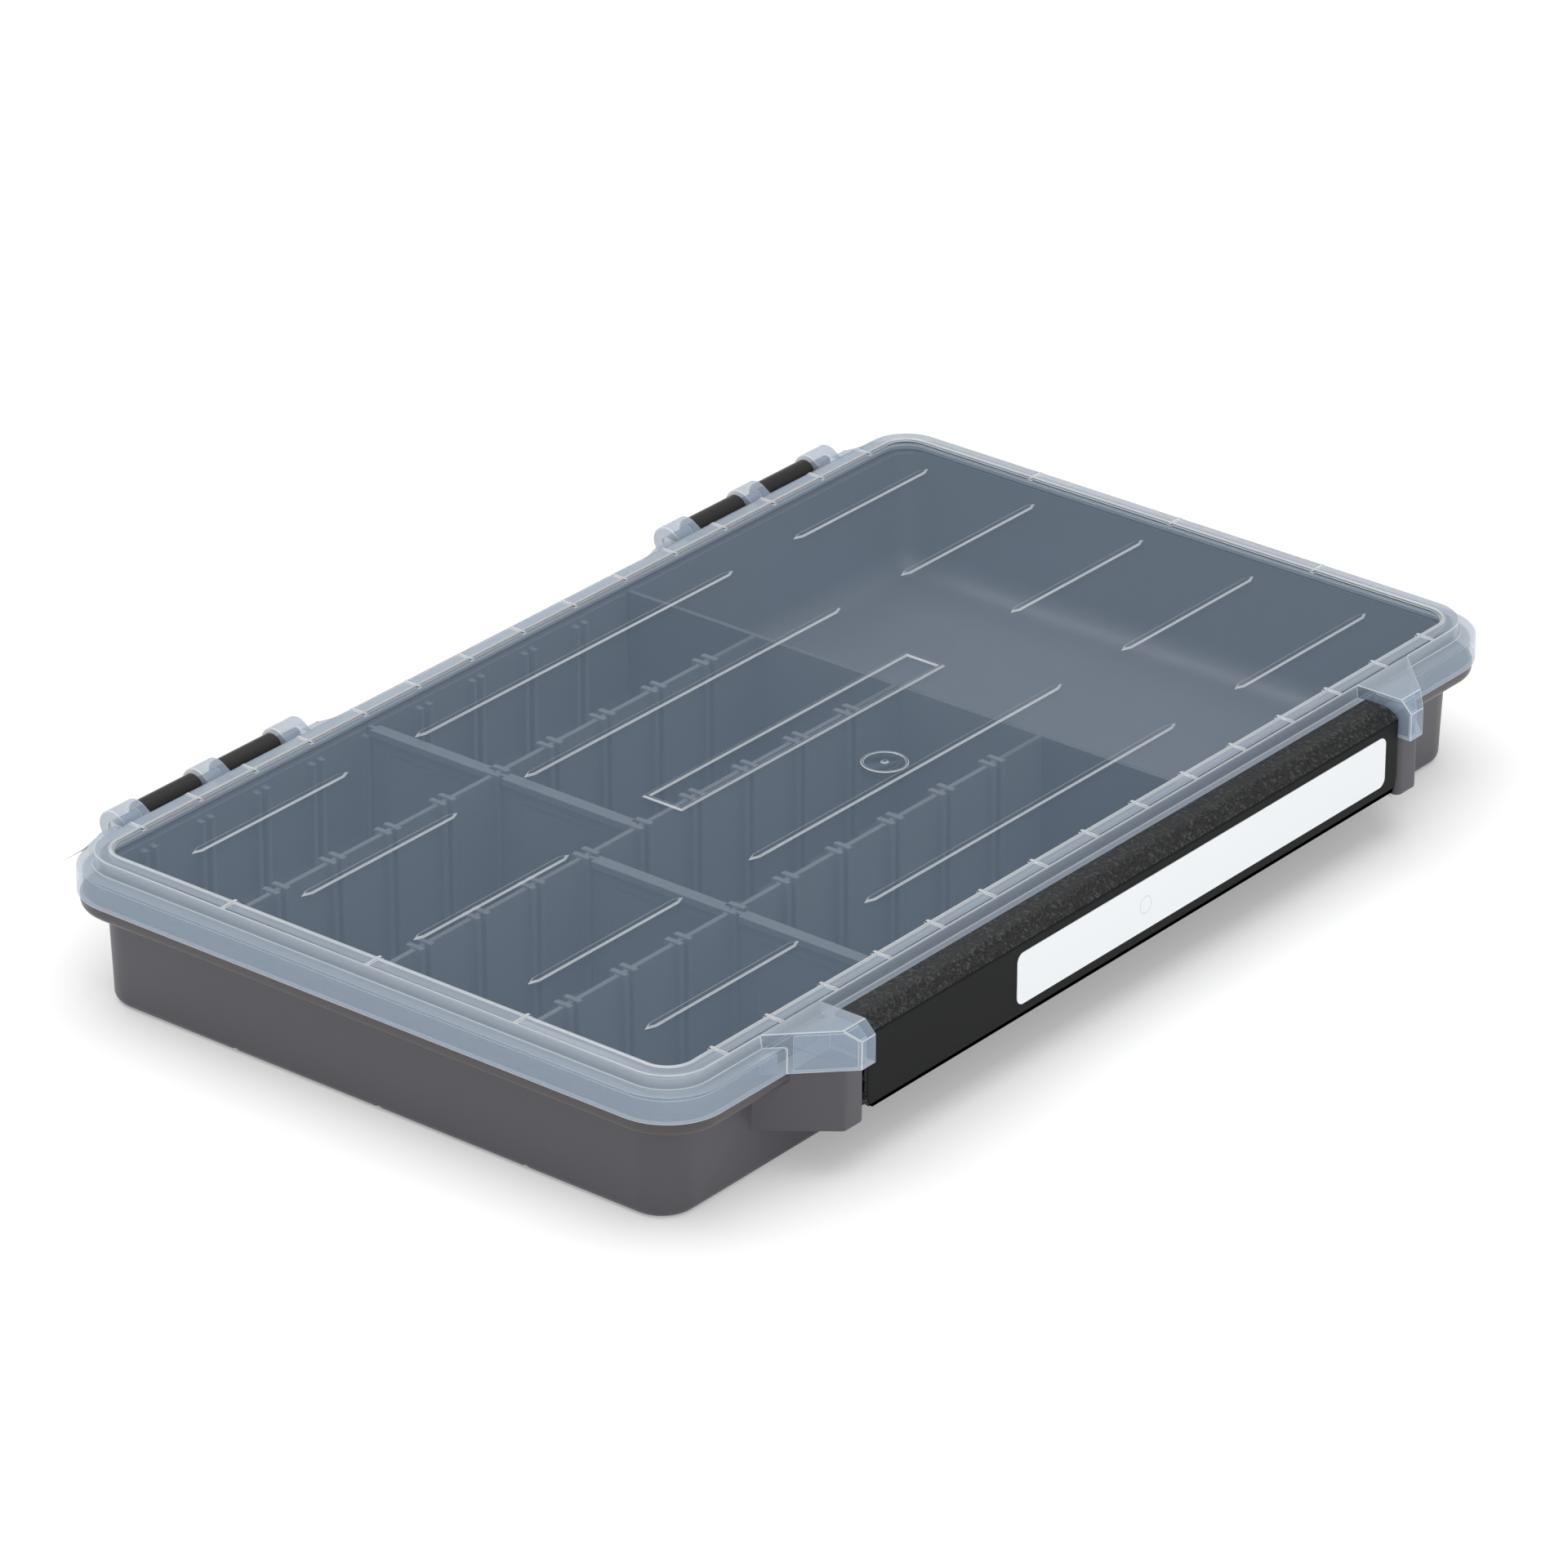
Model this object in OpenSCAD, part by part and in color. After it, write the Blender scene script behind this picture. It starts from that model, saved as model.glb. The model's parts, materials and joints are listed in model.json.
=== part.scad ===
// Flat utility tackle box: gray tray, clear lid on two back hinges, full-width front latch and
// removable dividers. Millimetres. X runs along the box, -Y is the latch side, +Z is up, and the
// origin is the middle of the flat underside of the tray.

/* [Overall] */
// Length over the lid skirt
box_l = 356; // [296:1:428]
// Width over the lid skirt, latch and hinges not counted
box_w = 210.4; // [175:0.2:253]
// Height of the closed box
box_h = 43; // [35.8:0.2:52]
// Outer corner radius of the lid skirt
corner_r = 17; // [14:0.5:24]

/* [Lid] */
// Wall thickness of the lid
lid_t = 1.6; // [1.2:0.1:2]
// Height of the skirt from its open edge to the ledge
skirt_h = 7.6; // [6.4:0.1:9]
// Width of the ledge between the skirt and the plateau wall
ledge_w = 4.4; // [3.6:0.1:5.4]
// Height of the plateau above the ledge
plateau_h = 3.9; // [3.2:0.1:4.8]
// Width of the seal in the lid
seal_w = 2.6; // [2:0.1:3]
// Width of the raised band round the edge of the plateau
band_w = 5.4; // [4.5:0.1:6.4]
// Width of the bead on the inner edge of that band
bead_w = 1.3; // [1:0.1:1.6]
// Step down from the band to the clear panel
band_step = 0.4; // [0.2:0.1:0.5]
// Width of the raised ribs on the panel
top_rib_w = 2; // [1.4:0.1:2.6]
// Height of the raised ribs, plaque frame and gate mark
top_rib_h = 0.4; // [0.2:0.1:0.4]
// Distance between the lines of raised ribs
top_rib_pitch = 38; // [31:0.5:46]
// Length of the raised ribs at both ends of the lid
end_rib_l = 60; // [50:1:72]
// Distance from the lid end to the first rib
rib_inset = 23.5; // [20:0.5:28]
// Gap between the end ribs and the middle ribs
rib_gap = 28; // [23:1:34]

/* [Tray] */
// Wall thickness of the tray at its foot
tray_t = 2; // [1.6:0.1:2.6]
// Distance from the lid skirt to the tray wall at its foot, on the short sides
wall_inset_l = 7.2; // [6.4:0.1:8.8]
// Distance from the lid skirt to the tray wall at its foot, on the long sides
wall_inset_w = 9; // [8:0.1:10.8]
// Outward lean of the tray wall over its height
wall_draft = 1; // [0.6:0.1:1.6]
// Height of the rim flange
flange_h = 3.8; // [3:0.1:4.6]
// How far the flange stays inside the lid skirt
flange_inset = 0.8; // [0.5:0.1:1.4]
// Floor thickness
floor_t = 1.8; // [1.4:0.1:2.4]
// Cove radius where the outer walls meet the floor
cove_r = 8; // [6:0.5:9]
// Rounding of the outer bottom edge
foot_r = 3; // [2:0.25:4]

/* [Compartments] */
// Thickness of the lengthwise walls and of the cross wall
wall_t = 1.6; // [1.2:0.1:2.2]
// Distance between the lengthwise walls
row_pitch = 49; // [40:0.5:52]
// Distance between divider slots
slot_pitch = 21.78; // [18:0.02:26]
// Width of the two ribs beside a slot
slot_rib_w = 1.8; // [1.4:0.1:2.4]
// Depth of a slot
slot_depth = 1.9; // [1.5:0.1:2.4]
// Height of the slot ribs above the wall tops
slot_tab_h = 0.7; // [0.4:0.1:0.7]
// Slot that holds the fixed cross wall, counted from the middle slot
cross_slot = 2; // [1:1:4]
// Thickness of the removable dividers
divider_t = 1.4; // [1.1:0.1:1.8]
// Width of the thick edge on top of a divider
divider_flange_w = 4; // [3.2:0.1:5]
// Height of that thick edge
divider_flange_h = 2.2; // [1.6:0.1:3]
// Slots that the dividers stand in, back row first, counted from the middle slot
divider_slots = [-3, -3, -4, -4];

/* [Latch] */
// Distance from the lid end to the end of the latch
latch_inset = 62.3; // [52:0.1:75]
// How far the latch front stands out from the lid skirt
latch_out = 9.9; // [8.4:0.1:12]
// Height of the lower edge of the latch above the floor
latch_low = 15.6; // [13.5:0.1:18]
// Thickness of the latch shell
latch_t = 2.2; // [1.8:0.1:2.6]
// Length of the slanted strip above the latch front, front to back
latch_slant = 4.2; // [3.4:0.1:5]
// Gap between the latch and its neighbours
latch_gap = 0.5; // [0.3:0.1:1]
// Length of the label
label_l = 163; // [130:1:196]
// Height of the label
label_h = 14.8; // [12:0.2:17]
// Distance from the right end of the latch to the label
label_inset = 6.5; // [5:0.5:9]

/* [Hinges] */
// Distance from the lid end to the middle of a hinge
hinge_inset = 64.2; // [54:0.1:78]
// Distance from the lid skirt out to the hinge axis
hinge_out = 3.4; // [3:0.1:4.2]
// Height of the hinge axis below the ledge
hinge_drop = 1.1; // [0.5:0.1:1.8]
// Outer radius of the tray's hinge barrels
barrel_r = 3.5; // [3:0.1:4.2]
// Length of one hinge barrel
barrel_l = 21.5; // [18:0.5:26]
// Length of the lid's middle hinge bracket
bracket_l = 8.6; // [7:0.2:10.4]
// Outer radius of the lid's hinge brackets
bracket_r = 4.6; // [4:0.1:5.2]
// Radius of the steel pins
pin_r = 1.5; // [1.2:0.1:1.9]

/* [Fits] */
// Free gap between lid and tray
lid_gap = 0.3; // [0.2:0.05:0.5]
// Radial clearance of a pin in the piece that turns on it
pin_clear = 0.05; // [0.02:0.01:0.1]
// Gap round a divider in its slots
divider_gap = 0.25; // [0.15:0.05:0.4]

/* [Hidden] */
$fn = 64;

// Half sizes of the lid skirt
half_l = box_l / 2;
half_w = box_w / 2;

// Heights, from the floor up
ledge_z = box_h - plateau_h;
skirt_z = ledge_z - skirt_h;
flange_top = skirt_z - lid_gap;
flange_low = flange_top - flange_h;
panel_top = box_h - band_step;
panel_low = panel_top - lid_t;
band_low = box_h - lid_t;
seal_h = 1.8;
seal_low = band_low - seal_h;
seal_gap = 0.2;
upstand_top = seal_low - seal_gap;
slot_top = panel_low - lid_gap;
wall_top = slot_top - slot_tab_h;

// Offsets outwards from the corner centres, which every outline shares
cx = half_l - corner_r;
cy = half_w - corner_r;
plateau_off = corner_r - ledge_w;
bead_off = plateau_off - band_w;
bead_h = 0.3;
flange_off = corner_r - flange_inset;
upstand_out = plateau_off - lid_t - lid_gap;
seal_in = upstand_out - seal_w;

// Tray wall, set in further on the long sides than on the short ones, and the cavity inside it
foot_l = half_l - wall_inset_l;
foot_w = half_w - wall_inset_w;
in_l = foot_l - tray_t;
in_w = foot_w - tray_t;
cavity_r = cove_r + 0.5;
foot_corner = cavity_r + tray_t;

// Slots
slot_w = divider_t + 2 * divider_gap;
end_room = 12;
slot_side = floor((in_l - end_room) / slot_pitch);
cross_x = cross_slot * slot_pitch;
row_y = [row_pitch, 0, -row_pitch];
row_edges = [in_w, row_pitch, 0, -row_pitch, -in_w];

// Latch section
latch_end = half_l - latch_inset;
horn_in = latch_end + latch_gap;
latch_y = -half_w - latch_out;
shoulder_drop = 1.3;
slant_rise = 3.2;
lip_reach = 0.8;
lip_gap = 0.25;
latch_shoulder = ledge_z - shoulder_drop;
latch_ridge = latch_shoulder + slant_rise;
lip_y = -half_w + lip_reach;
lip_low = ledge_z + lip_gap;
eye_front = 1;
eye_low = 2.4;
latch_pin_y = latch_y + latch_t + pin_r + eye_front;
latch_pin_z = latch_low + pin_r + eye_low;
latch_pin_l = 11;
pin_inset = 2.4;
end_t = 2.6;
latch_corner = 5;
latch_top_corner = 2.5;
ear_low = latch_low - 1.6;
ear_slope = 14.5;
ear_w = 9;
ear_r = 1.8;
horn_out = 3.4;
horn_front = 5.6;
horn_chamfer = 3.4;

// Hinge
hinge_y = half_w + hinge_out;
hinge_z = ledge_z - hinge_drop;
hinge_x = half_l - hinge_inset;
side_bracket_l = 9.6;
hinge_gap = 0.5;
barrel_x = bracket_l / 2 + hinge_gap;
bracket_x = barrel_x + barrel_l + hinge_gap;
hinge_half = bracket_x + side_bracket_l;
taper_l = 15;
taper_h = 2.4;

// A profile carried round the corner centres: x is the distance outside them, y is the height
module carried(ex, ey) {
    for (side = [0, 180])
        rotate(side)
            translate([ex, 0, 0])
                rotate([90, 0, 0])
                    linear_extrude(height = 2 * ey, center = true)
                        children();
    for (side = [90, 270])
        rotate(side)
            translate([ey, 0, 0])
                rotate([90, 0, 0])
                    linear_extrude(height = 2 * ex, center = true)
                        children();
    for (corner = [[1, 1, 0], [-1, 1, 90], [-1, -1, 180], [1, -1, 270]])
        translate([corner[0] * ex, corner[1] * ey, 0])
            rotate(corner[2])
                rotate_extrude(angle = 90)
                    children();
}

// A filled block with the same outline, from z = low to high; the profile starts at x = 0
module carried_block(ex, ey, low, high) {
    translate([-ex, -ey, low])
        cube([2 * ex, 2 * ey, high - low]);
    carried(ex, ey)
        children();
}

// Flat block from corner to corner
module block(low, high) {
    translate(low)
        cube(high - low);
}

// Quarter-round points about a centre, from one angle to another
function arc(c, r, from, to, steps = 5) =
    [for (i = [0:steps]) let (a = from + (to - from) * i / steps) c + r * [cos(a), sin(a)]];

// ---------------------------------------------------------------- tray

module tray_body() {
    ex = foot_l - foot_corner;
    ey = foot_w - foot_corner;
    carried_block(ex, ey, 0, flange_top)
        polygon(concat([[0, 0]], arc([foot_corner - foot_r, foot_r], foot_r, -90, -10),
                       [[foot_corner + wall_draft, flange_low + 1],
                        [foot_corner + wall_draft, flange_top],
                        [0, flange_top]]));
}

module tray_rim() {
    round_r = 2;
    inner = seal_in - 4;
    carried(cx, cy)
        polygon(concat([[inner, flange_low], [flange_off - round_r, flange_low]],
                       arc([flange_off - round_r, flange_low + round_r], round_r, -75, 0),
                       [[flange_off, flange_top], [upstand_out, flange_top],
                        [upstand_out, upstand_top], [inner, upstand_top]]));
}

module tray_cavity() {
    carried_block(in_l - cavity_r, in_w - cavity_r, floor_t, box_h)
        polygon(concat([[0, floor_t]], arc([cavity_r - cove_r, floor_t + cove_r], cove_r, -90, 0, 6),
                       [[cavity_r, box_h], [0, box_h]]));
}

// Two ribs that make a slot, standing across a wall; depth is the reach on both faces
module slot_ribs(x, y, reach_back, reach_front, top) {
    for (side = [-1, 1])
        translate([x + side * (slot_w + slot_rib_w) / 2, y, 0])
            block([-slot_rib_w / 2, -reach_front, floor_t - 0.5],
                  [slot_rib_w / 2, reach_back, top]);
}

module wall_set() {
    reach = wall_t / 2 + slot_depth;
    for (y = row_y) {
        block([-in_l - 0.5, y - wall_t / 2, floor_t - 0.5], [cross_x, y + wall_t / 2, wall_top]);
        for (i = [-slot_side:cross_slot - 1])
            slot_ribs(i * slot_pitch, y, reach, reach, slot_top);
    }
    block([cross_x - wall_t / 2, -in_w - 0.5, floor_t - 0.5],
          [cross_x + wall_t / 2, in_w + 0.5, wall_top]);
    for (i = [-slot_side:cross_slot - 1]) {
        slot_ribs(i * slot_pitch, in_w, 0.5, slot_depth, upstand_top - 1.5);
        slot_ribs(i * slot_pitch, -in_w, slot_depth, 0.5, upstand_top - 1.5);
    }
}

// The walls step down to the upstand where they pass under the seal
module tray_walls() {
    difference() {
        wall_set();
        carried(cx, cy)
            polygon([[seal_in - lid_gap, upstand_top], [corner_r, upstand_top],
                     [corner_r, box_h], [seal_in - lid_gap, box_h]]);
    }
}

// Block beside the latch that holds its pin
module ear() {
    difference() {
        translate([0, 0, ear_low])
            linear_extrude(height = flange_top - ear_low)
                polygon(concat([[horn_in + ear_w + ear_slope, -foot_w + 1],
                                [horn_in, -foot_w + 1]],
                               arc([horn_in + ear_r, latch_y + ear_r], ear_r, 180, 270),
                               arc([horn_in + ear_w - ear_r, latch_y + ear_r], ear_r, 270, 318)));
        translate([latch_end - pin_inset, latch_pin_y, latch_pin_z])
            rotate([0, 90, 0])
                cylinder(r = pin_r, h = latch_pin_l + 0.5);
    }
}

// Barrel on an arm that rises from the flange
module barrel(x) {
    translate([x, 0, 0])
        difference() {
            union() {
                translate([0, hinge_y, hinge_z])
                    rotate([0, 90, 0])
                        cylinder(r = barrel_r, h = barrel_l);
                block([0, half_w - flange_inset - 1, flange_low + 0.6],
                      [barrel_l, hinge_y + 0.6, flange_top]);
                block([0, half_w + lid_gap, flange_low + 0.6],
                      [barrel_l, hinge_y + 0.6, hinge_z]);
            }
            translate([-1, hinge_y, hinge_z])
                rotate([0, 90, 0])
                    cylinder(r = pin_r, h = barrel_l + 2);
        }
}

// Grooves in the underside at both ends of the lengthwise walls
module foot_grooves() {
    reach = 11;
    groove_w = 2;
    groove_h = 1.3;
    for (y = row_y, side = [0, 1])
        mirror([side, 0, 0])
            block([foot_l - reach, y - groove_w / 2, -1], [half_l, y + groove_w / 2, groove_h]);
}

module tray() {
    color("#5b5960")
        difference() {
            union() {
                difference() {
                    union() {
                        tray_body();
                        tray_rim();
                        for (side = [0, 1])
                            mirror([side, 0, 0])
                                ear();
                    }
                    tray_cavity();
                }
                tray_walls();
                for (side = [-1, 1])
                    for (turn = [-1, 1])
                        barrel(side * hinge_x + turn * (barrel_x + barrel_l / 2) - barrel_l / 2);
            }
            foot_grooves();
        }
}

// ---------------------------------------------------------------- lid

module lid_shell() {
    edge_r = 0.8;
    difference() {
        carried_block(cx, cy, panel_low, box_h)
            polygon(concat([[0, panel_low], [plateau_off - lid_t, panel_low],
                            [plateau_off - lid_t, ledge_z - lid_t],
                            [corner_r - lid_t, ledge_z - lid_t], [corner_r - lid_t, skirt_z],
                            [corner_r, skirt_z]],
                           arc([corner_r - edge_r, ledge_z - edge_r], edge_r, 0, 90, 3),
                           [[plateau_off, ledge_z]],
                           arc([plateau_off - edge_r - 0.3, box_h - edge_r], edge_r, 0, 90, 3),
                           [[0, box_h]]));
        carried_block(cx, cy, panel_top, box_h + 1)
            polygon([[0, panel_top], [bead_off, panel_top], [bead_off, box_h + 1], [0, box_h + 1]]);
        // Channel for the seal
        carried(cx, cy)
            polygon([[seal_in - 0.3, panel_low - 1], [plateau_off - lid_t + 0.01, panel_low - 1],
                     [plateau_off - lid_t + 0.01, band_low], [seal_in - 0.3, band_low]]);
    }
}

// Raised rib with pointed ends, from x0 to x1 at one y
module top_rib(x0, x1, y) {
    point = 2.4;
    translate([0, y, panel_top - 0.2])
        linear_extrude(height = top_rib_h + 0.2)
            polygon([[x0, 0], [x0 + point, -top_rib_w / 2], [x1 - point, -top_rib_w / 2], [x1, 0],
                     [x1 - point, top_rib_w / 2], [x0 + point, top_rib_w / 2]]);
}

module top_ribs() {
    end_0 = -half_l + rib_inset;
    mid_0 = end_0 + end_rib_l + rib_gap;
    for (line = [-2:2]) {
        y = line * top_rib_pitch;
        top_rib(end_0, end_0 + end_rib_l, y);
        top_rib(-end_0 - end_rib_l, -end_0, y);
        if (line != 0)
            top_rib(mid_0, -mid_0, y);
    }
}

// Blank raised frame in the middle of the lid, and the moulding gate mark in front of it
module plaque() {
    l = 112;
    w = 13;
    rim = 1.2;
    translate([0, 0, panel_top - 0.2])
        linear_extrude(height = top_rib_h + 0.2)
            difference() {
                square([l, w], center = true);
                square([l - 2 * rim, w - 2 * rim], center = true);
            }
}

module gate_mark() {
    translate([0, -30, panel_top - 0.2]) {
        cylinder(r = 0.9, h = 0.5);
        difference() {
            cylinder(r = 6.2, h = 0.35);
            translate([0, 0, -1])
                cylinder(r = 5.8, h = 3);
        }
    }
}

// Bead on the inner edge of the band, with a small bar across it at every slot and every
// lengthwise wall
module bead() {
    carried(cx, cy)
        polygon([[bead_off, panel_low + 0.5], [bead_off + bead_w, panel_low + 0.5],
                 [bead_off + bead_w - 0.3, box_h + bead_h], [bead_off + 0.3, box_h + bead_h]]);
}

module bead_bars() {
    bar_l = 5.2;
    bar_w = 1.1;
    bar_at = bead_off + 1.9;
    for (i = [-slot_side:slot_side], side = [-1, 1])
        translate([i * slot_pitch, side * (cy + bar_at), 0])
            block([-bar_w / 2, -bar_l / 2, panel_top - 0.3], [bar_w / 2, bar_l / 2, box_h + bead_h]);
    for (y = row_y, side = [-1, 1])
        translate([side * (cx + bar_at), y, 0])
            block([-bar_l / 2, -bar_w / 2, panel_top - 0.3], [bar_l / 2, bar_w / 2, box_h + bead_h]);
}

// Hollow horn beside the latch: outline seen from above, wall by wall
function horn_plan(inset) =
    [[horn_in + inset, -half_w + ledge_w + 0.5], [horn_in + inset, latch_y - horn_out + inset],
     [horn_in + horn_front - inset * 0.4, latch_y - horn_out + inset],
     [horn_in + horn_front + horn_out + latch_out + ledge_w + 0.5 - inset * 1.4,
      -half_w + ledge_w + 0.5]];

module horn_outer() {
    chamfer = horn_chamfer;
    difference() {
        translate([0, 0, skirt_z])
            linear_extrude(height = box_h - skirt_z)
                polygon(horn_plan(0));
        // Slanted front top edge
        translate([horn_in - 1, 0, 0])
            rotate([90, 0, 90])
                linear_extrude(height = 40)
                    polygon([[latch_y - horn_out - 1, box_h - chamfer],
                             [latch_y - horn_out, box_h - chamfer],
                             [latch_y - horn_out + chamfer, box_h],
                             [latch_y - horn_out + chamfer, box_h + 1],
                             [latch_y - horn_out - 1, box_h + 1]]);
    }
}

module horn() {
    // A slanted wall measures this much along z
    slant_t = lid_t * 1.4;
    difference() {
        horn_outer();
        // Hollow, open below
        difference() {
            translate([0, 0, skirt_z - 1])
                linear_extrude(height = box_h - skirt_z - lid_t + 1)
                    polygon(horn_plan(lid_t));
            translate([horn_in - 1, 0, 0])
                rotate([90, 0, 90])
                    linear_extrude(height = 40)
                        polygon([[latch_y - horn_out, box_h - horn_chamfer - slant_t],
                                 [latch_y - horn_out + 5, box_h - horn_chamfer - slant_t + 5],
                                 [latch_y - horn_out, box_h + 1]]);
            // The ledge and skirt run on inside the horn
            block([0, -half_w, skirt_z - 1], [half_l, -half_w + 20, box_h]);
        }
    }
}

// Bracket of the lid round the pin, between x = from and to; its top slopes from the knuckle
// down to the foot of the plateau
module bracket(from, to) {
    ramp_y = half_w - ledge_w + 0.8;
    away = hinge_y - ramp_y;
    reach = sqrt(away * away + hinge_drop * hinge_drop);
    rise = asin(bracket_r / reach) - atan2(hinge_drop, away);
    web_low = ledge_z - 1;
    translate([from, hinge_y, hinge_z])
        rotate([0, 90, 0])
            cylinder(r = bracket_r, h = to - from);
    translate([from, 0, 0])
        rotate([90, 0, 90])
            linear_extrude(height = to - from)
                polygon([[ramp_y, web_low], [half_w - lid_t, web_low],
                         [half_w - lid_t, hinge_z - bracket_r], [hinge_y, hinge_z - bracket_r],
                         [hinge_y, hinge_z],
                         [hinge_y - bracket_r * sin(rise), hinge_z + bracket_r * cos(rise)],
                         [ramp_y, ledge_z]]);
}

// Side bracket with the low flange that tapers back into the skirt
module side_bracket() {
    bracket(bracket_x, hinge_half);
    translate([0, 0, ledge_z - taper_h])
        linear_extrude(height = taper_h)
            polygon([[hinge_half - 1, half_w - 1], [hinge_half + taper_l, half_w - 1],
                     [hinge_half, hinge_y + 1], [hinge_half - 1, hinge_y + 1]]);
}

module hinge_brackets() {
    bracket(-bracket_l / 2, bracket_l / 2);
    for (side = [0, 1])
        mirror([side, 0, 0])
            side_bracket();
}

// Room for the barrels and for the pin
module hinge_room() {
    for (side = [-1, 1])
        translate([side * (barrel_x + barrel_l / 2) - barrel_l / 2 - hinge_gap, hinge_y, hinge_z])
            rotate([0, 90, 0])
                cylinder(r = barrel_r + 0.4, h = barrel_l + 2 * hinge_gap);
    translate([-hinge_half - taper_l - 1, hinge_y, hinge_z])
        rotate([0, 90, 0])
            cylinder(r = pin_r + pin_clear, h = 2 * (hinge_half + taper_l + 1));
}

module lid() {
    color("#aebccb", 0.45)
        difference() {
            union() {
                lid_shell();
                top_ribs();
                plaque();
                gate_mark();
                bead();
                bead_bars();
                for (side = [0, 1])
                    mirror([side, 0, 0])
                        horn();
                for (side = [-1, 1])
                    translate([side * hinge_x, 0, 0])
                        hinge_brackets();
            }
            for (side = [-1, 1])
                translate([side * hinge_x, 0, 0])
                    hinge_room();
        }
}

module lid_seal() {
    color("#d9dde0")
        carried(cx, cy)
            polygon([[seal_in, seal_low], [upstand_out, seal_low], [upstand_out, band_low],
                     [seal_in, band_low]]);
}

// ---------------------------------------------------------------- latch

module latch_section() {
    lip_t = 1.2;
    polygon([[latch_y, latch_low + 1.5], [latch_y, latch_shoulder],
             [latch_y + latch_slant, latch_ridge], [lip_y, lip_low + lip_t], [lip_y, lip_low],
             [-half_w - 1.2, lip_low], [latch_y + latch_slant + 0.4, latch_ridge - latch_t],
             [latch_y + latch_t, latch_shoulder - 0.8], [latch_y + latch_t, latch_low],
             [latch_y + 1.5, latch_low]]);
}

// Outline of the latch seen from the front, with round corners
module latch_outline() {
    corner_x = latch_end - latch_corner;
    top_x = latch_end - latch_top_corner;
    through = 60;
    rotate([90, 0, 0])
        linear_extrude(height = through, center = true)
            polygon(concat(arc([-corner_x, latch_low + latch_corner], latch_corner, 180, 270, 6),
                           arc([corner_x, latch_low + latch_corner], latch_corner, 270, 360, 6),
                           arc([top_x, latch_ridge - latch_top_corner], latch_top_corner, 0, 90),
                           arc([-top_x, latch_ridge - latch_top_corner], latch_top_corner, 90, 180)));
}

module latch() {
    color("#1b1d20")
        difference() {
            intersection() {
                latch_shell();
                translate([0, latch_y, 0])
                    latch_outline();
            }
            for (side = [0, 1])
                mirror([side, 0, 0])
                    translate([latch_end - end_t - 1, latch_pin_y, latch_pin_z])
                        rotate([0, 90, 0])
                            cylinder(r = pin_r + pin_clear, h = end_t + 2);
        }
}

// Bent front with its two end walls, which carry the pivot eyes
module latch_shell() {
    rotate([90, 0, 90])
        linear_extrude(height = 2 * latch_end, center = true)
            latch_section();
    for (side = [0, 1])
        mirror([side, 0, 0])
            translate([latch_end - end_t, 0, 0])
                rotate([90, 0, 90])
                    linear_extrude(height = end_t)
                        polygon([[latch_y + 1, latch_low + 1], [latch_y + 1, latch_shoulder - 0.5],
                                 [latch_y + latch_slant, latch_ridge - 0.6],
                                 [latch_pin_y + pin_r + 2, latch_ridge - 3],
                                 [latch_pin_y + pin_r + 2, latch_low]]);
}

module latch_label() {
    label_t = 0.3;
    mid_x = latch_end - label_inset - label_l / 2;
    mid_z = (latch_low + latch_shoulder) / 2 + 0.9;
    round_r = 2.5;
    color("#eaf0f4")
        translate([mid_x, latch_y, mid_z])
            rotate([90, 0, 0])
                linear_extrude(height = label_t) {
                    square([label_l - 2 * round_r, label_h], center = true);
                    square([label_l, label_h - 2 * round_r], center = true);
                    for (sx = [-1, 1], sz = [-1, 1])
                        translate([sx * (label_l / 2 - round_r), sz * (label_h / 2 - round_r)])
                            circle(r = round_r);
                }
}

// ---------------------------------------------------------------- pins

module hinge_pin(side) {
    pin_l = 2 * hinge_half - 1;
    color("#b9bcc0")
        translate([side * hinge_x - pin_l / 2, hinge_y, hinge_z])
            rotate([0, 90, 0])
                cylinder(r = pin_r, h = pin_l);
}

module latch_pin(side) {
    color("#b9bcc0")
        mirror([side, 0, 0])
            translate([latch_end - pin_inset, latch_pin_y, latch_pin_z])
                rotate([0, 90, 0])
                    cylinder(r = pin_r, h = latch_pin_l);
}

// ---------------------------------------------------------------- dividers

// Divider in one row: plate in the slots, thick top edge between the slot ribs
module divider(row) {
    x = divider_slots[row] * slot_pitch;
    outer_back = row == 0 ? 0 : wall_t / 2;
    outer_front = row == 3 ? 0 : wall_t / 2;
    back = row_edges[row] - outer_back - divider_gap;
    front = row_edges[row + 1] + outer_front + divider_gap;
    foot = floor_t + divider_gap;
    // The cove at the outer walls is cleared by a slanted lower corner
    cut_back = row == 0 ? cove_r : 0;
    cut_front = row == 3 ? cove_r : 0;
    recess = 0.3;
    color("#616069")
        difference() {
            union() {
                translate([x, 0, 0])
                    rotate([90, 0, 90])
                        linear_extrude(height = divider_t, center = true)
                            polygon([[front, foot + cut_front], [front, wall_top],
                                     [back, wall_top], [back, foot + cut_back],
                                     [back - cut_back, foot], [front + cut_front, foot]]);
                block([x - divider_flange_w / 2, front + slot_depth + divider_gap,
                       wall_top - divider_flange_h],
                      [x + divider_flange_w / 2, back - slot_depth - divider_gap, wall_top]);
            }
            // Sunk panel on both faces
            for (side = [-1, 1])
                translate([x + side * divider_t / 2, 0, 0])
                    block([-recess, front + 8, floor_t + 12],
                          [recess, back - 8, wall_top - divider_flange_h - 4]);
        }
}

module divider_row_1() { divider(0); }
module divider_row_2() { divider(1); }
module divider_row_3() { divider(2); }
module divider_row_4() { divider(3); }
module hinge_pin_left() { hinge_pin(-1); }
module hinge_pin_right() { hinge_pin(1); }
module latch_pin_left() { latch_pin(1); }
module latch_pin_right() { latch_pin(0); }

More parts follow.
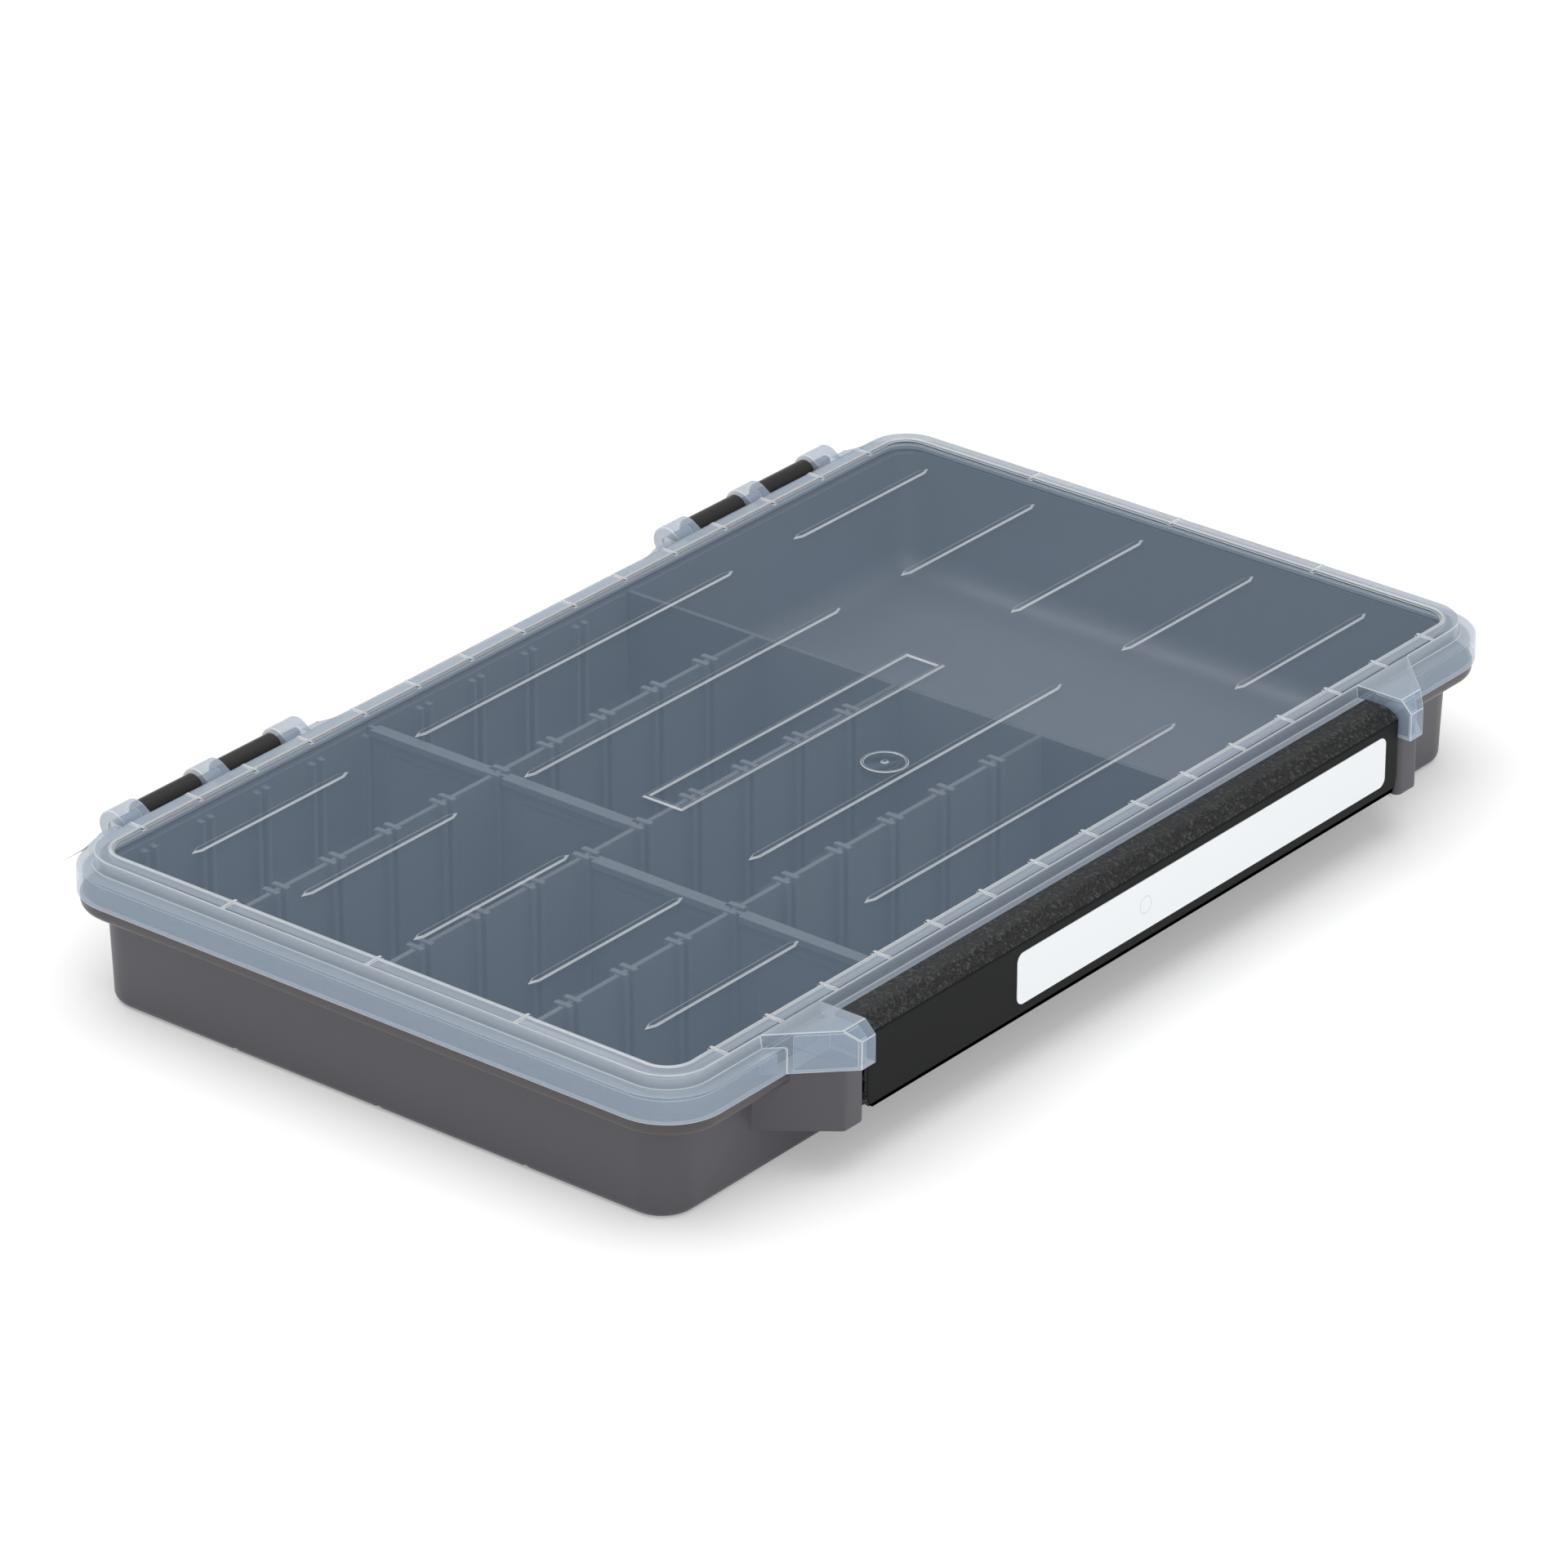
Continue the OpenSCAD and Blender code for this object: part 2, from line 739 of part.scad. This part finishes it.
tray();
lid();
lid_seal();
latch();
latch_label();
hinge_pin_left();
hinge_pin_right();
latch_pin_left();
latch_pin_right();
divider_row_1();
divider_row_2();
divider_row_3();
divider_row_4();
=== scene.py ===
# %% [markdown]
# # A flat utility tackle box
# This lesson finishes a box whose pieces are already made as solids: a gray tray, a clear lid, a
# black latch, a label, four dividers and some pins. Blender adds what a moulding shop adds: the
# small rounds on every edge, the grain of the mould, the haze of the clear plastic, and a studio.

# %% The frame: solids, bodies and the real size
import json
from math import cos, radians, sin

import bmesh
import bpy
from mathutils import Matrix, Vector


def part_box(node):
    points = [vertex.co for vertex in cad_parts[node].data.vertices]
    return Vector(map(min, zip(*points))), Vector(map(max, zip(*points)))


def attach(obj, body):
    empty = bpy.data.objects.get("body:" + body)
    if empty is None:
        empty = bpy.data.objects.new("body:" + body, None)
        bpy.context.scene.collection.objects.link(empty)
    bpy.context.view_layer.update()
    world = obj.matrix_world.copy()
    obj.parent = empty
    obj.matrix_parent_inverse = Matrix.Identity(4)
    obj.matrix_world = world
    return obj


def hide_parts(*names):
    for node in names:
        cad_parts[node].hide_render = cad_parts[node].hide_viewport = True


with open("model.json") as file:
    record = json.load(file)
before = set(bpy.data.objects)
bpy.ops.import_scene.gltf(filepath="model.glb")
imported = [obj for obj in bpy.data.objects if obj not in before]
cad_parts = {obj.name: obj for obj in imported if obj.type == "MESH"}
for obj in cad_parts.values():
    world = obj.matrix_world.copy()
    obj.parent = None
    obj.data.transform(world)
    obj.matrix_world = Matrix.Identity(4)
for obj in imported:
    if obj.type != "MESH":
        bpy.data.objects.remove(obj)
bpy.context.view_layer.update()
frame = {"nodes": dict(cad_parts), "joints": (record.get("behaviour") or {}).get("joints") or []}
MM = 0.001
POLYPROPYLENE_IOR, ABS_IOR = 1.49, 1.53

# %% [markdown]
# ## Colours and nodes
# Colours are easiest to name as the hex values a colour picker gives, but shaders count in linear
# light, so one function turns one into the other. A second small function adds a shader node:
# what it is given by socket name is either a number to set or another socket to link.


# %% Helpers for every material
def linear(hex_colour):
    """An sRGB hex colour as linear red, green, blue and alpha."""
    parts = [int(hex_colour[i:i + 2], 16) / 255 for i in (1, 3, 5)]
    return [p / 12.92 if p <= 0.04045 else ((p + 0.055) / 1.055) ** 2.4 for p in parts] + [1.0]


def add(tree, kind, inputs=None, **settings):
    """Add a node of one kind, set or link its inputs by name or number, and set its properties."""
    node = tree.nodes.new(kind)
    for name, value in settings.items():
        setattr(node, name, value)
    for name, value in (inputs or {}).items():
        if isinstance(value, bpy.types.NodeSocket):
            tree.links.new(value, node.inputs[name])
        else:
            node.inputs[name].default_value = value
    return node


def new_material(name):
    """An empty material with its output node, and the object's own coordinates in metres."""
    material = bpy.data.materials.new(name)
    material.use_nodes = True
    tree = material.node_tree
    tree.nodes.clear()
    output = add(tree, "ShaderNodeOutputMaterial")
    where = add(tree, "ShaderNodeTexCoord").outputs["Object"]
    return material, tree, output, where


# %% [markdown]
# ## The tray's plastic
# The tray and its dividers are injection-moulded polypropylene, coloured gray in the melt. The
# mould is spark-eroded, which leaves a fine grain of about 0.3 mm and a satin gloss. The grain is
# a noise bump. A much wider noise varies gloss and tone a little, as the melt's flow does. The
# rim, which the mould's two halves close on, is a little browner and glossier, and it is painted
# darker as painted shade, because it lies just below the lid's skirt. The hinge barrels are the
# same gray plastic, painted nearly black as painted shade, and come glossy off polished steel. The
# inside is painted paler than the outside, as painted light for the light it loses under the lid.


# %% Satin polypropylene, gray
def satin_polypropylene(name, tone, dark_tone, roughness):
    material, tree, output, where = new_material(name)
    grain_mm, grain_depth_mm, flow_mm, swing = 0.35, 0.03, 45, 0.06
    grain = add(tree, "ShaderNodeTexNoise",
                {"Vector": where, "Scale": 1 / (grain_mm * MM), "Detail": 2.0})
    flow = add(tree, "ShaderNodeTexNoise",
               {"Vector": where, "Scale": 1 / (flow_mm * MM), "Detail": 3.0})
    colour = add(tree, "ShaderNodeMix", {"Factor": flow.outputs["Fac"], "A": linear(dark_tone),
                                         "B": linear(tone)}, data_type="RGBA")
    gloss = add(tree, "ShaderNodeMapRange", {"Value": flow.outputs["Fac"],
                                             "To Min": roughness - swing,
                                             "To Max": roughness + swing})
    bump = add(tree, "ShaderNodeBump", {"Height": grain.outputs["Fac"], "Strength": 0.25,
                                        "Distance": grain_depth_mm * MM})
    shader = add(tree, "ShaderNodeBsdfPrincipled",
                 {"Base Color": colour.outputs["Result"], "Roughness": gloss.outputs["Result"],
                  "Normal": bump.outputs["Normal"], "IOR": POLYPROPYLENE_IOR})
    tree.links.new(shader.outputs["BSDF"], output.inputs["Surface"])
    return material


TRAY_PLASTIC = satin_polypropylene("moulded_gray_polypropylene", tone="#504e55",
                                   dark_tone="#4a484f", roughness=0.42)
# Painted shade: the rim is darker than the tray because it lies just below the lid's skirt.
RIM_PAINTED_SHADE = satin_polypropylene("glossy_rim_polypropylene_painted_shade", tone="#4b4649",
                                  dark_tone="#454144", roughness=0.33)
# Painted shade: the barrels are the same gray plastic as the tray, painted nearly black.
BARREL_PAINTED_SHADE = satin_polypropylene("polished_barrel_painted_shade", tone="#252223",
                                     dark_tone="#201e1f", roughness=0.26)
# Painted light: the inside is paler than the outside to make up for the light it loses under the
# lid.
INSIDE_PAINTED_LIGHT = satin_polypropylene("inside_polypropylene_painted_light", tone="#66666d",
                                     dark_tone="#5f5f66", roughness=0.36)
DIVIDER_PLASTIC = satin_polypropylene("moulded_divider_polypropylene", tone="#64676e",
                                      dark_tone="#5d6067", roughness=0.4)
for plastic in (TRAY_PLASTIC, RIM_PAINTED_SHADE, BARREL_PAINTED_SHADE, INSIDE_PAINTED_LIGHT, DIVIDER_PLASTIC):
    print("gray plastic:", plastic.name)

# %% [markdown]
# ## The lid's plastic
# The lid is clarified polypropylene. Tiny crystals in it scatter blue light, so it is clear with a
# bluish veil, and it turns pale along every edge and thick rib, where light has further to go; the
# pale edges are also a painted highlight for the light that real edges bend and reflect. A
# sheet 1.6 mm thick bends nothing that the eye would notice, so each surface is a veil that covers
# a share of what lies behind it, and the rest passes straight through. That also lets the lamps
# light the inside. The share also dims the surface's own gloss, so the walls' IOR starts from
# polypropylene's 1.49 and goes up to give the gloss back.


# %% Clarified polypropylene: panel, walls, band and edges
def clarified_polypropylene(name, tone, cover, ior, rough_low, rough_high):
    material, tree, output, where = new_material(name)
    rub_mm = 30
    rub = add(tree, "ShaderNodeTexNoise",
              {"Vector": where, "Scale": 1 / (rub_mm * MM), "Detail": 4.0})
    gloss = add(tree, "ShaderNodeMapRange",
                {"Value": rub.outputs["Fac"], "To Min": rough_low, "To Max": rough_high})
    shader = add(tree, "ShaderNodeBsdfPrincipled",
                 {"Base Color": linear(tone), "Roughness": gloss.outputs["Result"],
                  "IOR": ior, "Alpha": cover})
    tree.links.new(shader.outputs["BSDF"], output.inputs["Surface"])
    return material


WALL_IOR = 1.8
LID_FINISHES = [
    clarified_polypropylene("clear_polypropylene_panel", "#aecae6", cover=0.1,
                            ior=POLYPROPYLENE_IOR, rough_low=0.03, rough_high=0.08),
    clarified_polypropylene("hazy_polypropylene_wall", "#afc1d5", cover=0.4,
                            ior=WALL_IOR, rough_low=0.04, rough_high=0.1),
    clarified_polypropylene("frosted_polypropylene_band", "#b7c4d2", cover=0.55,
                            ior=WALL_IOR, rough_low=0.1, rough_high=0.2),
    # Partly painted highlight: the pale edge finish stands for the light that edges bend and
    # reflect.
    clarified_polypropylene("milky_polypropylene_edge_painted_highlight", "#e9eff5", cover=0.62,
                            ior=WALL_IOR, rough_low=0.1, rough_high=0.2),
]
PANEL, WALL, BAND, EDGE = range(4)
print("lid finishes:", [finish.name for finish in LID_FINISHES])

# %% [markdown]
# ## The latch's plastic
# The latch is black ABS with two grains. Its front is lightly grained and takes a printed label,
# and the slanted strip above is etched to a coarse pebble for the thumb. A pebble is a cell
# pattern with a finer noise on it, used as bump, and the crests are painted paler than the pits,
# a painted highlight for the glints on the pebbles. Real pebbles are about 0.7 mm, which is too
# fine to show from a metre and a half away, so they are drawn at 1.5 mm.


# %% Black ABS
def black_abs(name, pit, crest_highlight, roughness, mirror, pebble_mm, depth_mm):
    material, tree, output, where = new_material(name)
    pebble = add(tree, "ShaderNodeTexVoronoi",
                 {"Vector": where, "Scale": 1 / (pebble_mm * MM), "Randomness": 1.0},
                 feature="SMOOTH_F1")
    fine = add(tree, "ShaderNodeTexNoise",
               {"Vector": where, "Scale": 2 / (pebble_mm * MM), "Detail": 2.0})
    height = add(tree, "ShaderNodeMath", {0: fine.outputs["Fac"], 1: pebble.outputs["Distance"]},
                 operation="SUBTRACT")
    pit_level, crest_level = 0.15, 0.45
    # Painted highlight: this mask and the crest colour make the tops of the pebbles paler, for
    # their glints.
    crest_highlight_mask = add(tree, "ShaderNodeMapRange",
                 {"Value": height.outputs["Value"], "From Min": pit_level, "From Max": crest_level})
    colour = add(tree, "ShaderNodeMix", {"Factor": crest_highlight_mask.outputs["Result"], "A": linear(pit),
                                         "B": linear(crest_highlight)}, data_type="RGBA")
    bump = add(tree, "ShaderNodeBump", {"Height": height.outputs["Value"], "Strength": 1.0,
                                        "Distance": depth_mm * MM})
    shader = add(tree, "ShaderNodeBsdfPrincipled",
                 {"Base Color": colour.outputs["Result"], "Roughness": roughness,
                  "Specular IOR Level": mirror, "Normal": bump.outputs["Normal"], "IOR": ABS_IOR})
    tree.links.new(shader.outputs["BSDF"], output.inputs["Surface"])
    return material


LATCH_FINISHES = [
    black_abs("black_abs_fine_grain", pit="#0a0c0d", crest_highlight="#0e1112", roughness=0.5, mirror=0.12,
              pebble_mm=0.4, depth_mm=0.01),
    # The pebbled strip's pale crests are its painted highlight.
    black_abs("black_abs_pebbled", pit="#060707", crest_highlight="#363b3d", roughness=0.26, mirror=0.4,
              pebble_mm=1.5, depth_mm=0.6),
    black_abs("black_abs_polished", pit="#0b0c0d", crest_highlight="#0d0e0f", roughness=0.3, mirror=0.3,
              pebble_mm=0.5, depth_mm=0.003),
]
FRONT, PEBBLE, SMOOTH = range(3)
print("latch finishes:", [finish.name for finish in LATCH_FINISHES])

# %% [markdown]
# ## Label film, seal rubber and pin steel
# The label is white vinyl film with a faint orange peel, the seal a pale soft elastomer, and the
# pins are drawn steel wire. One function makes all three, because each is one even colour with a
# fine bump, and only the wire is a metal.


# %% Film, rubber and wire
def plain(name, tone, roughness, metallic=0.0, grain_mm=0.6, depth_mm=0.004):
    material, tree, output, where = new_material(name)
    grain = add(tree, "ShaderNodeTexNoise", {"Vector": where, "Scale": 1 / (grain_mm * MM)})
    bump = add(tree, "ShaderNodeBump", {"Height": grain.outputs["Fac"], "Strength": 0.5,
                                        "Distance": depth_mm * MM})
    shader = add(tree, "ShaderNodeBsdfPrincipled",
                 {"Base Color": linear(tone), "Roughness": roughness, "Metallic": metallic,
                  "Normal": bump.outputs["Normal"]})
    tree.links.new(shader.outputs["BSDF"], output.inputs["Surface"])
    return material


LABEL_FILM = plain("white_vinyl_film", "#f6fafd", roughness=0.45)
SEAL_RUBBER = plain("pale_elastomer", "#a9b3bd", roughness=0.5)
PIN_STEEL = plain("drawn_steel_wire", "#b9bcc0", roughness=0.35, metallic=1.0)
print("small materials:", LABEL_FILM.name, SEAL_RUBBER.name, PIN_STEEL.name)

# %% [markdown]
# ## Rounded copies of the solids
# No moulded edge is sharp. Each solid is copied, its split flat faces are joined again, and a bevel
# modifier rounds every edge that turns by more than the given angle. Each edge may also carry its
# own share of the round, because a thin lip can take less than a thick corner. The copy replaces
# the solid and rides on the same body.


# %% One function for every moulding
def rounded(node, name, body, materials, edge_mm, steps=2, edge_finish=-1, share=None):
    turn, flat_turn, weld_mm = radians(38), radians(0.4), 0.0005
    shape = bmesh.new()
    shape.from_mesh(frame["nodes"][node].data)
    bmesh.ops.remove_doubles(shape, verts=shape.verts, dist=weld_mm * MM)
    bmesh.ops.dissolve_limit(shape, angle_limit=flat_turn, verts=shape.verts, edges=shape.edges,
                             delimit={"NORMAL"})
    for face in shape.faces:
        face.material_index = 0
        face.smooth = True
    weight = shape.edges.layers.float.new("bevel_weight_edge")
    for edge in shape.edges:
        if len(edge.link_faces) == 2 and edge.calc_face_angle() > turn:
            edge[weight] = share(edge) if share else 1.0
    mesh = bpy.data.meshes.new(name)
    shape.to_mesh(mesh)
    shape.free()
    for material in materials:
        mesh.materials.append(material)
    mesh.set_sharp_from_angle(angle=turn)
    piece = bpy.data.objects.new(name, mesh)
    bpy.context.scene.collection.objects.link(piece)
    bevel = piece.modifiers.new("edge_round", "BEVEL")
    bevel.width = edge_mm * MM
    bevel.segments = steps
    bevel.limit_method = "WEIGHT"
    bevel.use_clamp_overlap = False
    bevel.harden_normals = True
    bevel.material = edge_finish
    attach(piece, body)
    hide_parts(node)
    print(name, "faces before rounding:", len(mesh.polygons))
    return piece


def lies_within(piece, face, reach_x, reach_y):
    """Whether all corners of a face are nearer to the middle than these distances."""
    corners = [piece.data.vertices[k].co for k in face.vertices]
    return all(abs(v.x) < reach_x and abs(v.y) < reach_y for v in corners)


# %% [markdown]
# ## The tray and its dividers
# The tray is one deep moulding, and the dividers are thin loose plates. Their edges are rounded by
# only 0.2 to 0.3 mm, which is all that the real ones have. Faces near the hinge line are the
# barrels, faces in the rim's height that stand outside the walls are the rim, and faces above the
# floor and within the walls are the inside. The outer faces of the rounded corners lie as near to
# the middle as the inside does, so a face that looks outward both ways stays outside.

# %% Tray and dividers
tray = rounded("tray", "tray_moulding", "tray",
               [TRAY_PLASTIC, RIM_PAINTED_SHADE, BARREL_PAINTED_SHADE, INSIDE_PAINTED_LIGHT], edge_mm=0.3)
RIM, BARREL, INSIDE = 1, 2, 3
for row in range(1, 5):
    rounded(f"divider_row_{row}", f"divider_moulding_{row}", "tray",
            [DIVIDER_PLASTIC], edge_mm=0.2)

hinge_line = Vector(next(j["pos_m"] for j in frame["joints"] if j["name"] == "lid_hinge"))
lid_low, lid_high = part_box("lid")
barrel_reach = 3.8 * MM
rim_low, rim_high = lid_low.z - 4.4 * MM, lid_low.z
rim_x, rim_y, rim_end_y = 172.4 * MM, 97.8 * MM, 105.3 * MM
inside_x, inside_y, floor_top = 169.0 * MM, 94.4 * MM, 1.7 * MM
lean = 0.05
# This sort gives the rim and barrel faces their painted shade and the inside faces their painted
# light.
for face in tray.data.polygons:
    c = face.center
    outward_x = face.normal.x * c.x > lean * abs(c.x)
    outward_y = face.normal.y * c.y > lean * abs(c.y)
    in_rim = rim_low < c.z < rim_high and abs(c.y) < rim_end_y
    if (c - Vector((c.x, hinge_line.y, hinge_line.z))).length < barrel_reach:
        face.material_index = BARREL
    elif in_rim and (abs(c.x) > rim_x or abs(c.y) > rim_y):
        face.material_index = RIM
    elif (outward_x and outward_y) or c.z <= floor_top:
        continue
    elif lies_within(tray, face, inside_x, inside_y):
        face.material_index = INSIDE
print("barrel faces:", sum(f.material_index == BARREL for f in tray.data.polygons))

# %% [markdown]
# ## The lid and its seal
# The lid is one moulding too, but the eye sees four finishes in it. The flat panel is clearest.
# The walls are hazy, because the eye looks along them. The band that runs round the panel and the
# ledge outside it are frosted on top, and so are the hinge brackets. The raised ribs, the bead,
# the open edge of the skirt and every rounded edge look milky: partly the haze of thick plastic,
# partly a painted highlight for the light they catch, bend and reflect. Each face is sorted
# by where its corners lie and which way it looks, and the bevel gives its own faces that finish.

# %% Lid and seal
lid = rounded("lid", "lid_moulding", "lid", LID_FINISHES, edge_mm=0.25,
              edge_finish=EDGE)
rounded("lid_seal", "seal_ring", "lid", [SEAL_RUBBER], edge_mm=0.3)

bead_rise, panel_drop, lid_wall, near = 0.3 * MM, 0.4 * MM, 1.6 * MM, 0.06 * MM
band_top = lid_high.z - bead_rise
panel_top = band_top - panel_drop
ledge_drop, level = 3.9 * MM, 0.9
ledge_top = band_top - ledge_drop
panel_reach = Vector((169.1, 96.3)) * MM
plateau_reach = Vector((173.8, 101.0)) * MM
skirt_y = 105.3 * MM
for face in lid.data.polygons:
    c, flat, up = face.center, abs(face.normal.z) > level, face.normal.z > level
    over_panel = lies_within(lid, face, *panel_reach)
    over_plateau = lies_within(lid, face, *plateau_reach)
    raised = c.z > panel_top + near and (not flat or c.z > band_top + near)
    # Raised faces and the skirt's open edge take the edge finish, partly a painted highlight.
    if raised or abs(c.z - lid_low.z) < near:
        face.material_index = EDGE
    elif flat and over_panel and c.z > panel_top - lid_wall - near:
        face.material_index = PANEL
    elif c.y > skirt_y or (up and c.z > ledge_top - near) or (over_plateau and c.z > ledge_top):
        face.material_index = BAND
    else:
        face.material_index = WALL
counts = [sum(f.material_index == k for f in lid.data.polygons) for k in range(len(LID_FINISHES))]
print("lid faces as panel, wall, band and edge:", counts)

# %% [markdown]
# ## The latch and its label
# The latch is a bent bar with soft corners on the outside, about 1 mm, and thin crisp edges
# inside. An edge is outside when its faces look away from the middle of the hollow. The foot and
# the thin lip that hooks over the lid take a smaller share of the round. The slanted strip, the
# lip's top and both ends carry the pebble. The label has a small moulded ring under its middle,
# which shows through the film as a faint circle, so a thin ring is laid on it, painted grayer
# than the film as painted shade where the film rises over the ring.

# %% Latch, label and the ring under the label
latch_low, latch_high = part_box("latch")
hollow = Vector((0, latch_low.y + 6 * MM, 25 * MM))
hollow_end = latch_high.x - 8 * MM
lip_start = latch_low.y + 5.5 * MM
foot_top = latch_low.z + 2.5 * MM
strip_low, end_x = latch_high.z - 5 * MM, latch_high.x - 1 * MM
INNER_SHARE, FOOT_SHARE = 0.25, 0.4


def latch_share(edge):
    middle = (edge.verts[0].co + edge.verts[1].co) / 2
    inside = hollow.copy()
    inside.x = max(-hollow_end, min(hollow_end, middle.x))
    looks = edge.link_faces[0].normal + edge.link_faces[1].normal
    outside = (middle - inside).dot(looks) > 0 and middle.y < lip_start
    return INNER_SHARE if not outside else FOOT_SHARE if middle.z < foot_top else 1.0


latch = rounded("latch", "latch_moulding", "latch", LATCH_FINISHES,
                edge_mm=1.0, steps=4, share=latch_share)
for face in latch.data.polygons:
    outside = face.center.y < lip_start
    thumb = face.normal.z > 0.2 and face.center.z > strip_low
    end = outside and abs(face.normal.x) > 0.5 and abs(face.center.x) > end_x
    face.material_index = PEBBLE if thumb or end else FRONT if outside else SMOOTH
rounded("latch_label", "label_film", "latch", [LABEL_FILM],
        edge_mm=0.08)

label_low, label_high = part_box("latch_label")
ring_at = Vector((1 * MM, label_low.y + 0.04 * MM, (label_low.z + label_high.z) / 2))
bpy.ops.mesh.primitive_torus_add(major_radius=2.4 * MM, minor_radius=0.1 * MM,
                                 major_segments=48, minor_segments=8, location=ring_at,
                                 rotation=(radians(90), 0, 0))
ring = bpy.context.object
ring.name = "label_gate_ring"
ring.data.shade_smooth()
# Painted shade: the ring is grayer than the label film, for the shade where the film rises over it.
ring.data.materials.append(plain("vinyl_film_painted_ring_shade", "#ccd3d8", roughness=0.45))
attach(ring, "latch")

# %% [markdown]
# ## The pins
# The four pins are plain turned wire, so their solids show as they are, with the steel on them.

# %% Pins
for name in ("hinge_pin_left", "hinge_pin_right", "latch_pin_left", "latch_pin_right"):
    frame["nodes"][name].material_slots[0].material = PIN_STEEL
    print("steel:", name)

# %% [markdown]
# ## The camera
# A long lens from about two metres keeps the box's long sides nearly parallel. The camera looks
# from the front left, a little above. Its three axes come from one azimuth, one elevation and a
# slight roll, and are written straight into its matrix.

# %% Camera
LENS_MM, SENSOR_MM = 190.55, 36.0
AZIMUTH, ELEVATION, ROLL = radians(-51.36), radians(26.56), radians(0.2)
STAND = Vector((-1550.9, -1235.8, 1017.9)) * MM
back = Vector((sin(AZIMUTH) * cos(ELEVATION), -cos(AZIMUTH) * cos(ELEVATION), sin(ELEVATION)))
side = Vector((cos(AZIMUTH), sin(AZIMUTH), 0))
up = back.cross(side)
turned_side = side * cos(ROLL) + up * sin(ROLL)
turned_up = up * cos(ROLL) - side * sin(ROLL)
camera_data = bpy.data.cameras.new("studio_camera")
camera_data.lens = LENS_MM
camera_data.sensor_width = SENSOR_MM
camera = bpy.data.objects.new("studio_camera", camera_data)
bpy.context.scene.collection.objects.link(camera)
camera.matrix_world = Matrix((
    (turned_side.x, turned_up.x, back.x, STAND.x), (turned_side.y, turned_up.y, back.y, STAND.y),
    (turned_side.z, turned_up.z, back.z, STAND.z), (0, 0, 0, 1)))
bpy.context.scene.camera = camera
print("camera stands at", [round(v, 2) for v in STAND])

# %% [markdown]
# ## The light table
# The box stands on opal acrylic that glows a little from below, as product photographers use: it
# is as white as the background and lifts the shadows until they are soft and pale.

# %% Floor
floor_mesh = bpy.data.meshes.new("light_table")
reach = 6.0
floor_corners = [(-reach, -reach, 0), (reach, -reach, 0), (reach, reach, 0), (-reach, reach, 0)]
floor_mesh.from_pydata(floor_corners, [], [(0, 1, 2, 3)])
floor = bpy.data.objects.new("light_table", floor_mesh)
bpy.context.scene.collection.objects.link(floor)
acrylic, tree, output, _ = new_material("opal_acrylic_light_table")
shader = add(tree, "ShaderNodeBsdfPrincipled",
             {"Base Color": linear("#e6e6e6"), "Roughness": 0.9, "Specular IOR Level": 0.1,
              "Emission Color": linear("#ffffff"), "Emission Strength": 0.28})
tree.links.new(shader.outputs["BSDF"], output.inputs["Surface"])
floor_mesh.materials.append(acrylic)
print("floor is", 2 * reach, "m wide")

# %% [markdown]
# ## The lights
# One big soft box overhead does most of the work. A weaker one behind the hinges draws the lid's
# far edges, and one on the camera's side fills the fronts. The air of the studio is dim white for
# reflections and pure white where the camera looks straight at it.


# %% Soft boxes and studio air
def soft_box(name, place, size_m, watts):
    data = bpy.data.lights.new(name, "AREA")
    data.shape = "SQUARE"
    data.size = size_m
    data.energy = watts
    lamp = bpy.data.objects.new(name, data)
    bpy.context.scene.collection.objects.link(lamp)
    lamp.location = place
    lamp.rotation_mode = "QUATERNION"
    lamp.rotation_quaternion = Vector(place).to_track_quat("Z", "Y")
    print(name, watts, "W")


soft_box("overhead_box", (0, 0.1, 2.4), size_m=3.0, watts=45)
soft_box("edge_box", (-0.3, 1.6, 1.6), size_m=1.4, watts=4)
soft_box("fill_box", (-1.3, -1.9, 1.3), size_m=2.4, watts=13)
world = bpy.data.worlds.new("studio_air")
world.use_nodes = True
bpy.context.scene.world = world
tree = world.node_tree
tree.nodes.clear()
seen = add(tree, "ShaderNodeLightPath").outputs["Is Camera Ray"]
dim = add(tree, "ShaderNodeBackground", {"Color": linear("#ffffff"), "Strength": 0.45})
white = add(tree, "ShaderNodeBackground", {"Color": linear("#ffffff"), "Strength": 1.0})
both = add(tree, "ShaderNodeMixShader", {0: seen, 1: dim.outputs[0], 2: white.outputs[0]})
add(tree, "ShaderNodeOutputWorld", {"Surface": both.outputs[0]})
bpy.context.scene.view_settings.view_transform = "Standard"
